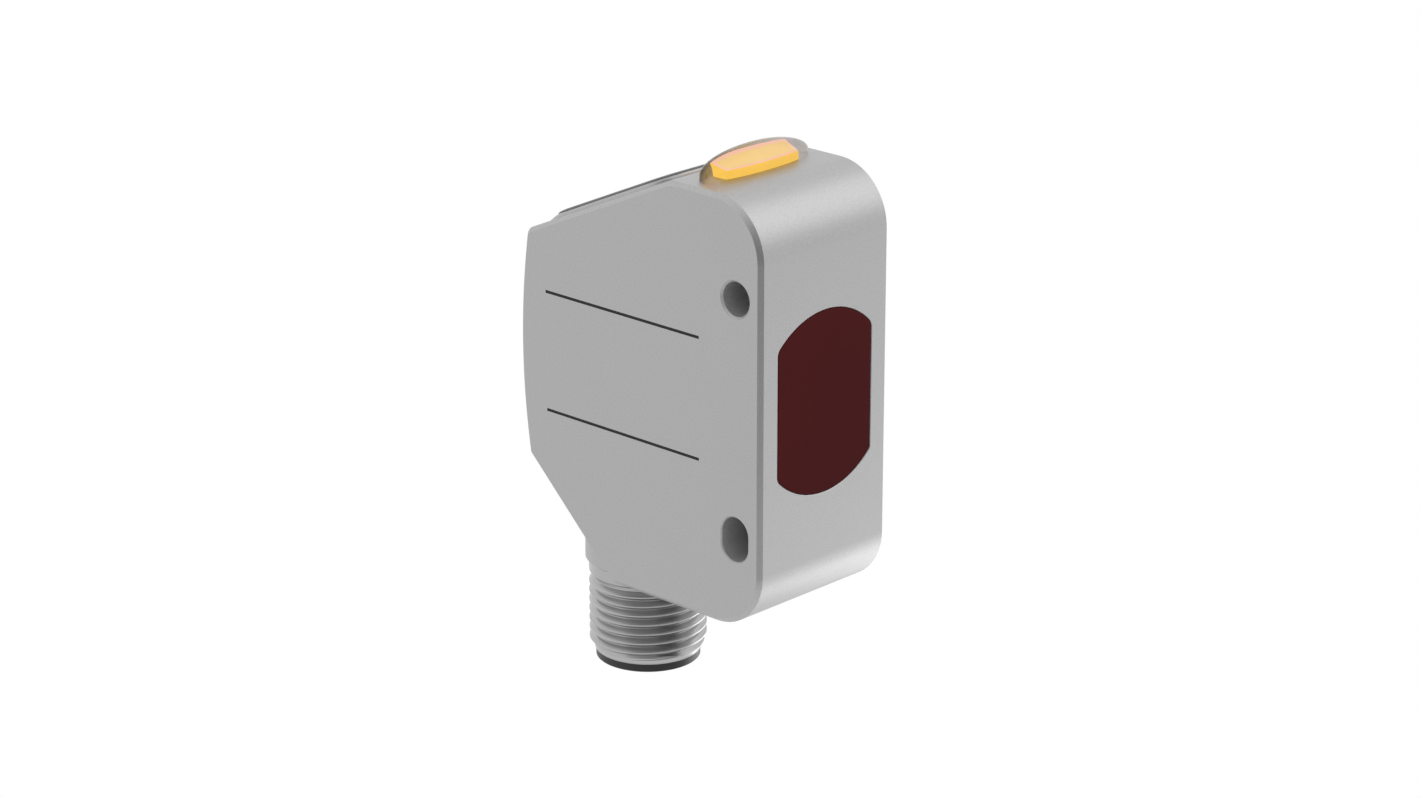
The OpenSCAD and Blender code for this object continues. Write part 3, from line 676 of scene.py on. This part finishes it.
def rule_tool(z):
    """Solid that engraves a rule at height z into the near side."""
    def outline(inset):
        y0, y1 = RULE_START + inset, RULE_END - inset
        z0, z1 = z - RULE_HALF + inset, z + RULE_HALF - inset
        return [Vector((y0, z0)), Vector((y1, z0)), Vector((y1, z1)), Vector((y0, z1))]

    return straight(-SIDE - 0.5, -SIDE + RULE_DEPTH, outline, SIDEWAYS)


def on_panel(side, end, r, inset):
    """Round rectangle on the rear slope, this far in from the panel's sides and its ends."""
    return round_rectangle(PANEL_W - 2 * side, PANEL_START + end, PANEL_END - end, r, inset)


def make_housing():
    """The flat steel shell: rounded rim, inner space, holes, neck, window seat and raised rim."""
    broken = [(-SIDE, EDGE), (-SIDE + EDGE, 0), (SIDE - EDGE, 0), (SIDE, EDGE)]
    piece = mesh_piece("housing_shell", solid(broken, housing_outline, SIDEWAYS), [STEEL])

    def inner(inset):
        return [Vector((max(p.x, FRONT + FRONT_WALL), p.y)) for p in housing_outline(WALL + inset)]

    carve(piece, straight(-SIDE + SIDE_WALL, SIDE - COVER_T / 2, inner, SIDEWAYS), STEEL)
    carve(piece, straight(SIDE - COVER_T, SIDE + 1, housing_outline, SIDEWAYS, LAND), STEEL)
    for reach, z, _ in HOLES:
        boss = side_tube(HOLE_R + BOSS_WALL, reach, -SIDE + SIDE_WALL / 2, SIDE, z)
        weld(piece, boss, STEEL)
    neck = [(0.0, NECK_TOP), (NECK_R, NECK_TOP), (NECK_R, NECK_END + 0.35),
            (NECK_R - 0.12, NECK_END + 0.2), (NECK_R - 0.35, NECK_END), (0.0, NECK_END)]
    weld(piece, lathe(neck, DOWN_CONN), STEEL)

    def rim(up):
        """The rim at a share of its height: its rear end runs down to the end of the slope."""
        draw = RIM_DRAW * (1 - math.sqrt(1 - up ** 4))
        end = RIM_END + (PANEL_END - RIM_END) * up
        return round_rectangle(PANEL_W, PANEL_START, end, PANEL_R, draw)

    rim_levels = [(-0.6, 0)] + [(BEZEL_H * k / 8, k / 8) for k in range(9)]
    weld(piece, solid(rim_levels, rim, ON_SLOPE), STEEL)
    for reach, z, flare in HOLES:
        carve(piece, side_tube(HOLE_R, reach, -SIDE - 1, SIDE + 1, z, flare), BORED)
    wide = -WINDOW_GAP - WINDOW_BREAK
    mouth = [(-WINDOW_SEAT, -WINDOW_GAP), (-WINDOW_BREAK, -WINDOW_GAP), (0, wide), (1, wide)]
    carve(piece, solid(mouth, window_outline, FORWARD), STEEL)
    carve(piece, straight(-3, -1, window_outline, FORWARD, WINDOW_LEDGE), STEEL)

    def hatch(inset):
        return on_panel(0.95, 1.8, 1.4, inset)

    carve(piece, straight(-2.5, 1.5, hatch, ON_SLOPE), STEEL)
    carve(piece, straight(-2.5, 1, core_outline, AT_LENS, STEM_INSET - 0.02), STEEL)
    bore = [(0.0, BOTTOM + 12), (NECK_BORE_R, BOTTOM + 12),
            (NECK_BORE_R, NECK_END - 1), (0.0, NECK_END - 1)]
    carve(piece, lathe(bore, DOWN_CONN), STEEL)
    for z in RULES_Z:
        carve(piece, rule_tool(z), ETCHED)
    return settle(finish_edges(piece), "body", "stainless_steel", "housing")


def make_side_cover():
    """Welded cover on the far side, its rim broken so that the seam shows."""
    def outline(inset):
        return housing_outline(LAND + SEAM + inset)

    plate = solid(rounded_levels(SIDE - COVER_T, SIDE, 0.08), outline, SIDEWAYS)
    piece = mesh_piece("side_cover_plate", plate, [STEEL])
    for reach, z, _ in HOLES:
        hole = side_tube(HOLE_R + BOSS_WALL + SEAM, reach, SIDE - 2, SIDE + 1, z)
        carve(piece, hole, STEEL)
    return settle(finish_edges(piece), "body", "stainless_steel", "side_cover")


# ---- window, indicator ------------------------------------------------------------------------------

def make_window():
    """Dark red plate, set a hair behind the front face."""
    levels = rounded_levels(-WINDOW_T - WINDOW_SUNK, -WINDOW_SUNK, 0.09)
    plate = solid(levels, window_outline, FORWARD)
    piece = mesh_piece("red_window_plate", plate, [FINISHES["window_red"]])
    return settle(finish_edges(piece), "body", "window_red", "sensing_window")


def dome(length, width, edge, height, steps=14):
    """Rings of a domed bar on the top face: an upright edge, then an elliptical crown."""
    foot = squared_oval(length, width)
    rings = [stand(foot, level, AT_LENS) for level in (-LENS_SUNK, edge / 2, edge)]
    for k in range(1, steps + 1):
        a = math.pi / 2 * k / steps
        shrink = max(math.cos(a), 0.02)
        rings.append(stand(squared_oval(length * shrink, width * shrink),
                           edge + math.sin(a) * (height - edge), AT_LENS))
    return rings


def core_outline(inset):
    """The lens outline drawn in, with its two ends cut off straight."""
    reach = CORE_L / 2 - inset
    drawn = 2 * (CORE_MARGIN + inset)
    oval = squared_oval(LENS_L - drawn, LENS_W - drawn)
    return [Vector((max(-reach, min(reach, p.x)), p.y)) for p in oval]


def make_indicator():
    """Clear domed cover over an amber bar with upright sides and a flat, rose-edged top."""
    bm = bmesh.new()
    add_loft(bm, dome(LENS_L, LENS_W, LENS_EDGE, LENS_TOP))
    lens = mesh_piece("indicator_shell", bm, [FINISHES["lens_clear"]])
    settle(lens, "body", "lens_clear", "indicator_lens")
    levels = [(-STEM_L, STEM_INSET), (-0.02, STEM_INSET), (-0.02, 0), (CORE_H - 0.06, 0),
              (CORE_H, 0.05), (CORE_H + 0.05, 0.36), (CORE_H + 0.06, 0.8)]
    bm = solid(levels, core_outline, AT_LENS)
    for face in bm.faces:
        above = min(v.co.z for v in face.verts) - TOP - CORE_H
        if above > 0.045:
            face.material_index = 1
        elif above > -0.01:
            face.material_index = 2
    core = mesh_piece("amber_bar", bm, [FINISHES["indicator_amber"], AMBER_FACE, ROSE_RIM])
    settle(core, "body", "indicator_amber", "indicator_core")


# ---- rear panel ------------------------------------------------------------------------------------

def at_button(k):
    """Place of a push button on the slope, counted from the middle one."""
    return ON_SLOPE @ Matrix.Translation((k * BUTTON_PITCH, BUTTON_V, 0))


def geometry_group(name, inputs):
    """Geometry Nodes group with these inputs and one geometry output, and its two end nodes."""
    tree = bpy.data.node_groups.new(name, "GeometryNodeTree")
    for label, kind in inputs:
        tree.interface.new_socket(label, in_out="INPUT", socket_type="NodeSocket" + kind)
    tree.interface.new_socket("Result", in_out="OUTPUT", socket_type="NodeSocketGeometry")
    return tree, tree.nodes.new("NodeGroupInput"), tree.nodes.new("NodeGroupOutput")


def copy_and_paint(tree, entry, exit_, part, rotation=None):
    """Stands a part on every point, makes plain mesh of the copies and gives them the finish."""
    copies = tree.nodes.new("GeometryNodeInstanceOnPoints")
    tree.links.new(entry.outputs["Points"], copies.inputs["Points"])
    tree.links.new(part, copies.inputs["Instance"])
    if rotation:
        tree.links.new(rotation, copies.inputs["Rotation"])
    real = tree.nodes.new("GeometryNodeRealizeInstances")
    tree.links.new(copies.outputs[0], real.inputs[0])
    paint = tree.nodes.new("GeometryNodeSetMaterial")
    tree.links.new(real.outputs[0], paint.inputs["Geometry"])
    tree.links.new(entry.outputs["Finish"], paint.inputs["Material"])
    tree.links.new(paint.outputs[0], exit_.inputs[0])
    return tree


def copies_on_points(name, points, tree, **inputs):
    """Object with a Geometry Nodes group on a cloud of points; still to be baked."""
    mesh = bpy.data.meshes.new(name)
    mesh.from_pydata([p * MM for p in points], [], [])
    piece = bpy.data.objects.new(name, mesh)
    bpy.context.scene.collection.objects.link(piece)
    nodes = piece.modifiers.new("copies", "NODES")
    nodes.node_group = tree
    for item in tree.interface.items_tree:
        if item.name in inputs and item.in_out == "INPUT":
            nodes[item.identifier] = inputs[item.name]
    return piece


def segment_tree():
    """Geometry Nodes: one bar-shaped segment put on every point of the digits."""
    tree, entry, exit_ = geometry_group("digit_segments", [
        ("Points", "Geometry"), ("Length", "Float"), ("Width", "Float"), ("Finish", "Material")])
    bar = tree.nodes.new("GeometryNodeMeshCube")
    size = tree.nodes.new("ShaderNodeCombineXYZ")
    size.inputs["Z"].default_value = SEGMENT_T * MM
    tree.links.new(entry.outputs["Length"], size.inputs["X"])
    tree.links.new(entry.outputs["Width"], size.inputs["Y"])
    tree.links.new(size.outputs[0], bar.inputs["Size"])
    turn = tree.nodes.new("GeometryNodeInputNamedAttribute")
    turn.data_type = "FLOAT"
    turn.inputs["Name"].default_value = "upright"
    quarter = put(tree, "ShaderNodeMath", operation="MULTIPLY")
    quarter.inputs[1].default_value = math.pi / 2
    tree.links.new(turn.outputs["Attribute"], quarter.inputs[0])
    angles = tree.nodes.new("ShaderNodeCombineXYZ")
    tree.links.new(quarter.outputs[0], angles.inputs["Z"])
    return copy_and_paint(tree, entry, exit_, bar.outputs["Mesh"], angles.outputs[0])


def make_digits():
    """Four unlit digits under the dark display window."""
    flat = [(0, 1), (0, 0), (0, -1)]
    upright = [(-1, 0.5), (1, 0.5), (-1, -0.5), (1, -0.5)]
    middles = [(digit - (DIGITS - 1) / 2) * DIGIT_PITCH for digit in range(DIGITS)]
    points = [Vector((middle + sx * DIGIT_W / 2, DIGIT_V + sy * DIGIT_HALF, 0))
              for middle in middles for sx, sy in flat + upright]
    piece = copies_on_points("display_digits", points, segment_tree(), Length=SEGMENT_L * MM,
                             Width=SEGMENT_W * MM, Finish=SEGMENT_GREY)
    turns = ([0.0] * len(flat) + [1.0] * len(upright)) * DIGITS
    piece.data.attributes.new("upright", "FLOAT", "POINT").data.foreach_set("value", turns)
    baked(piece)
    place = ON_SLOPE @ Matrix.Translation((0, 0, PLATE_TOP - DIGIT_SUNK))
    place.translation *= MM
    piece.data.transform(place)
    return settle(piece, "body", "display_glass")


def make_panel():
    """Dark cover plate on the rear slope with its display window."""
    def outline(inset):
        return on_panel(0.12, 0.12, PANEL_R - 0.12, inset)

    def plug(inset):
        return on_panel(1.2, 2.05, 1.2, inset)

    def display(inset):
        return round_rectangle(DISPLAY_W, DISPLAY_START, DISPLAY_END, 0.7, inset)

    def pane(inset):
        return display(inset + 0.02)

    film = FINISHES["panel_dark"]
    shoulder = BEZEL_H + 0.04
    crown = [(BEZEL_H, 0), (shoulder, 0)]
    for degrees in range(15, 91, 15):
        a = math.radians(degrees)
        crown.append((shoulder + (PLATE_TOP - shoulder) * math.sin(a), 1.2 * (1 - math.cos(a))))
    piece = mesh_piece("panel_plate", solid(crown, outline, ON_SLOPE), [film])
    weld(piece, straight(-0.5, BEZEL_H + 0.1, plug, ON_SLOPE), film)
    r = BUTTON_R + BUTTON_GAP
    well = [(0.0, -1.5), (r, -1.5), (r, PLATE_TOP - 0.05), (r + 0.12, PLATE_TOP + 0.07),
            (r + 0.12, 2.0), (0.0, 2.0)]
    for _, _, k, _ in KEYS:
        carve(piece, lathe(well, at_button(k), 64), film)
    carve(piece, straight(PLATE_TOP - DISPLAY_DEPTH, PLATE_TOP + 0.5, display, ON_SLOPE), film)
    settle(finish_edges(piece), "body", "panel_dark", "rear_panel")
    levels = rounded_levels(PLATE_TOP - DISPLAY_DEPTH, PLATE_TOP - 0.02, 0.04, 3)
    window = mesh_piece("display_window", solid(levels, pane, ON_SLOPE), [FINISHES["display_glass"]])
    settle(finish_edges(window), "body", "display_glass")


def make_button(name, body, k, bars):
    """Key cap: a turned cap with a soft rim and a dish, its flange, and a plain printed mark."""
    place = at_button(k)
    top = PLATE_TOP - KEY_SUNK
    dish_r = BUTTON_R - KEY_EDGE
    profile = [(0.0, FLANGE_Z), (FLANGE_R, FLANGE_Z), (FLANGE_R, FLANGE_Z + FLANGE_T),
               (BUTTON_R, FLANGE_Z + FLANGE_T)]
    for degrees in range(0, 91, 15):
        a = math.radians(degrees)
        profile.append((dish_r + KEY_EDGE * math.cos(a), top - KEY_EDGE * (1 - math.sin(a))))
    for inward in (0.2, 0.5, 0.9, 1.3):
        dip = KEY_DISH * math.sin(math.pi / 2 * inward / dish_r)
        profile.append((dish_r - inward, top - dip))
    profile.append((0.0, top - KEY_DISH))
    bm = bmesh.new()
    add_lathe(bm, profile, place, 64)
    low, high = [top - depth for depth in MARK_DEPTHS]
    for length, width in bars:
        bar = round_rectangle(length, -width / 2, width / 2, 0.1)
        add_loft(bm, [stand(bar, level, place) for level in (low, high)], 1)
    if not bars:
        inner, outer = RING_R
        add_lathe(bm, [(inner, low), (outer, low), (outer, high), (inner, high)], place, 48, 1)
    piece = mesh_piece(name + "_cap", bm, [FINISHES["button_grey"], PRINT])
    return settle(piece, body, "button_grey", name)


# ---- connector --------------------------------------------------------------------------------------

def thread_profile(depth, pitch):
    """One turn of the thread's shape, as heights and depths: root flat, flank, crest flat, flank."""
    crest, root = pitch * 0.14, pitch * 0.05
    middle = (root + pitch) / 2
    return [(0.0, 0.0), (root, 0.0), (middle - crest / 2, depth), (middle + crest / 2, depth)]


def add_thread(bm, root, low, high, pitch, depth, place, steps=120):
    """Helical thread between two heights: a sheared grid that closes on itself, and an inner wall.

    The thread fades out at both heights.
    """
    shape = thread_profile(depth, pitch)
    per = len(shape)
    rows = per * (math.ceil((high - low) / pitch) + 2) + 1
    fade = 0.8 * pitch
    inside = root - 0.2

    def point(k, r, z):
        direction = heading(360 * k / steps)
        return bm.verts.new(place @ Vector((r * direction.x, r * direction.y, z)))

    def ridge(k, j):
        rise, bump = shape[j % per]
        z = low - pitch + (j // per + k / steps) * pitch + rise
        z = min(max(z, low), high)
        return point(k, root + bump * min(1.0, (z - low) / fade, (high - z) / fade), z)

    grid = [[ridge(k, j) for j in range(rows)] for k in range(steps)]
    for k in range(steps):
        shift = 0 if k + 1 < steps else per
        there = grid[(k + 1) % steps]
        for j in range(rows - 1 - shift):
            bm.faces.new((grid[k][j], there[j + shift], there[j + shift + 1], grid[k][j + 1]))
    rings = [[point(k, r, z) for k in range(steps)]
             for r, z in ((root, high), (inside, high), (inside, low), (root, low))]
    for upper, lower in zip(rings, rings[1:]):
        for k in range(steps):
            i = (k + 1) % steps
            bm.faces.new((upper[k], upper[i], lower[i], lower[k]))


def make_connector():
    """Threaded barrel, turned in one piece, with the helical thread and its lead-in."""
    end = insert_low.z + LIP_H
    root, crest = THREAD_ROOT, THREAD_CREST
    outer = [(BARREL_BORE, end), (5.34, end), (5.4, end + 0.06), (root + 0.14, end + 0.7),
             (root, end + 0.9), (root, THREAD_HIGH), (crest, THREAD_HIGH + 0.35), (crest, NECK_END),
             (SPIGOT_R, NECK_END), (SPIGOT_R, NECK_END + 4), (BARREL_BORE, NECK_END + 4)]
    bm = lathe(outer, DOWN_CONN, 120)
    add_thread(bm, root - 0.02, THREAD_LOW - 0.4, THREAD_HIGH + 0.3, PITCH, crest - root + 0.02,
               DOWN_CONN)
    barrel = mesh_piece("threaded_barrel", bm, [FINISHES["turned_steel"]], 40)
    settle(barrel, "body", "turned_steel", "connector_barrel")


def make_insert():
    """Black contact carrier with its lip, socket and keying rib."""
    low, lip = insert_low.z, insert_low.z + LIP_H
    socket = low + SOCKET_DEPTH
    profile = [(SOCKET_R, low + 0.12), (SOCKET_R + 0.12, low), (LIP_R - 0.1, low), (LIP_R, low + 0.1),
               (LIP_R, lip), (INSERT_R, lip), (INSERT_R, socket + 1), (0.0, socket + 1),
               (0.0, socket), (SOCKET_R, socket)]
    black = FINISHES["black_plastic"]
    piece = mesh_piece("contact_carrier", lathe(profile, DOWN_CONN), [black])
    rib = bmesh.new()
    corners = ((-0.5, -4.5), (0.5, -4.5), (0.5, -3.75), (0.3, -3.6), (-0.3, -3.6), (-0.5, -3.75))
    outline = [Vector((x, y)) for x, y in corners]
    add_loft(rib, [stand(outline, z, DOWN_CONN) for z in (low + 1, socket + 0.2)])
    weld(piece, rib, black)
    return settle(finish_edges(piece), "body", "black_plastic", "connector_insert")


def pins_tree():
    """Geometry Nodes: the contact pin stood on every point."""
    tree, entry, exit_ = geometry_group("pin_circle", [
        ("Points", "Geometry"), ("Pin", "Object"), ("Finish", "Material")])
    pin = tree.nodes.new("GeometryNodeObjectInfo")
    tree.links.new(entry.outputs["Pin"], pin.inputs["Object"])
    return copy_and_paint(tree, entry, exit_, pin.outputs["Geometry"])


def make_pins():
    """Five gold contacts with rounded tips: four on a circle and one in the middle."""
    gold = FINISHES["gold_contacts"]
    tip, end = pins_low.z, pins_high.z
    profile = [(0.0, tip)]
    for degrees in range(15, 91, 15):
        a = math.radians(degrees)
        profile.append((PIN_R * math.sin(a), tip + PIN_R * (1 - math.cos(a))))
    profile += [(PIN_R, end), (0.0, end)]
    one = mesh_piece("one_pin", lathe(profile, Matrix.Identity(4), 32), [gold])
    circle = [PIN_CIRCLE * heading(a) for a in (45, 135, 225, 315)]
    spots = [DOWN_CONN @ Vector((p.x, p.y, 0)) for p in [Vector((0, 0))] + circle]
    piece = copies_on_points("gold_pins", spots, pins_tree(), Pin=one, Finish=gold)
    baked(piece)
    bpy.data.objects.remove(one)
    return settle(piece, "body", "gold_contacts", "contact_pins")


# ---- studio ---------------------------------------------------------------------------------------

AIM = Vector((0, 10, -12))
FLOOR_HALF = 4000
FLOOR_DROP = 90
SCREEN_R = 270
SCREEN_LOW = -128
CAMERA_AT = Vector((-260.96, -237.69, 111.62))
CAMERA_TURN = -46.285
CAMERA_TILT = 19.315
CAMERA_LENS = 99.07


def seen_white(tree, shader):
    """Mixes a shader with plain white for camera, mirror and glass rays."""
    path = tree.nodes.new("ShaderNodeLightPath")
    seen = path.outputs["Is Camera Ray"]
    for ray in ("Is Glossy Ray", "Is Transmission Ray"):
        either = put(tree, "ShaderNodeMath", operation="MAXIMUM")
        tree.links.new(seen, either.inputs[0])
        tree.links.new(path.outputs[ray], either.inputs[1])
        seen = either.outputs[0]
    white = put(tree, "ShaderNodeEmission", Color=(1, 1, 1, 1), Strength=1.0)
    mix = tree.nodes.new("ShaderNodeMixShader")
    tree.links.new(seen, mix.inputs[0])
    tree.links.new(shader, mix.inputs[1])
    tree.links.new(white.outputs[0], mix.inputs[2])
    return mix.outputs[0]


def make_floor():
    """Pale floor a little below the hanging sensor."""
    bm = bmesh.new()
    bmesh.ops.create_grid(bm, x_segments=1, y_segments=1, size=FLOOR_HALF)
    bmesh.ops.translate(bm, vec=(0, 0, insert_low.z - FLOOR_DROP), verts=bm.verts)
    material = bpy.data.materials.new("pale_floor")
    material.use_nodes = True
    tree = material.node_tree
    shader = tree.nodes["Principled BSDF"]
    shader.inputs["Base Color"].default_value = (0.8, 0.8, 0.8, 1)
    shader.inputs["Roughness"].default_value = 0.8
    surface_input = tree.nodes["Material Output"].inputs["Surface"]
    tree.links.new(seen_white(tree, shader.outputs[0]), surface_input)
    mesh_piece("floor", bm, [material])


def make_world():
    """Even grey light from all round, seen as white."""
    world = bpy.data.worlds.new("studio")
    bpy.context.scene.world = world
    world.use_nodes = True
    tree = world.node_tree
    room = tree.nodes["Background"]
    room.inputs["Color"].default_value = (0.78, 0.78, 0.78, 1)
    tree.links.new(seen_white(tree, room.outputs[0]), tree.nodes["World Output"].inputs["Surface"])


def softbox(name, direction, distance, size, power):
    """Square area lamp looking at the sensor from a direction."""
    lamp = bpy.data.lights.new(name, "AREA")
    lamp.shape = "SQUARE"
    lamp.size = size * MM
    lamp.energy = power
    box = bpy.data.objects.new(name, lamp)
    bpy.context.scene.collection.objects.link(box)
    away = Vector(direction).normalized()
    box.location = (AIM + away * distance) * MM
    box.rotation_mode = "QUATERNION"
    box.rotation_quaternion = away.to_track_quat("Z", "Y")
    box.visible_camera = False


def dark_screen(name, start, end, glow, high):
    """Curved grey screen round the sensor that only shows in the metal, between two angles."""
    bm = bmesh.new()
    steps = 24
    rows = []
    for k in range(steps + 1):
        side = SCREEN_R * heading(start + (end - start) * k / steps)
        rows.append([bm.verts.new((side.x, side.y + AIM.y, z)) for z in (SCREEN_LOW, high)])
    for here, there in zip(rows, rows[1:]):
        bm.faces.new((here[0], there[0], there[1], here[1]))
    material = bpy.data.materials.new(name)
    material.use_nodes = True
    tree = material.node_tree
    light = put(tree, "ShaderNodeEmission", Color=(glow, glow, glow, 1), Strength=1.0)
    tree.links.new(light.outputs[0], tree.nodes["Material Output"].inputs["Surface"])
    screen = mesh_piece(name, bm, [material])
    screen.visible_camera = False
    screen.visible_diffuse = False
    screen.visible_transmission = False
    screen.visible_shadow = False


def make_camera():
    """Camera that looks down at the near side, the front and the top."""
    turn, tilt = math.radians(CAMERA_TURN), math.radians(CAMERA_TILT)
    level = Vector((math.sin(turn), -math.cos(turn), 0))
    back = Vector((level.x * math.cos(tilt), level.y * math.cos(tilt), math.sin(tilt)))
    right = Vector((math.cos(turn), math.sin(turn), 0))
    up = back.cross(right)
    data = bpy.data.cameras.new("camera")
    data.lens, data.sensor_width = CAMERA_LENS, 36
    data.clip_start, data.clip_end = 0.01, 20
    camera = bpy.data.objects.new("camera", data)
    bpy.context.scene.collection.objects.link(camera)
    rotation = Matrix((right, up, back)).transposed()
    camera.matrix_world = Matrix.Translation(CAMERA_AT * MM) @ rotation.to_4x4()
    bpy.context.scene.camera = camera


def make_studio():
    """World, floor, lamps, screens and camera."""
    make_world()
    make_floor()
    softbox("key", (0.68, -0.42, 0.6), 420, 330, 0.2)
    softbox("low_rim", (0.68, -0.1, -0.72), 160, 130, 0.085)
    dark_screen("screen_left", 178, 206, 0.5, 240)
    dark_screen("screen_middle", 206, 240, 0.36, 240)
    dark_screen("screen_right", 240, 290, 0.05, 90)
    make_camera()
    bpy.context.scene.view_settings.view_transform = "Standard"


dress_cad_nodes()
make_housing()
make_side_cover()
make_window()
make_indicator()
make_panel()
make_digits()
for key in KEYS:
    make_button(*key)
make_connector()
make_insert()
make_pins()
make_studio()
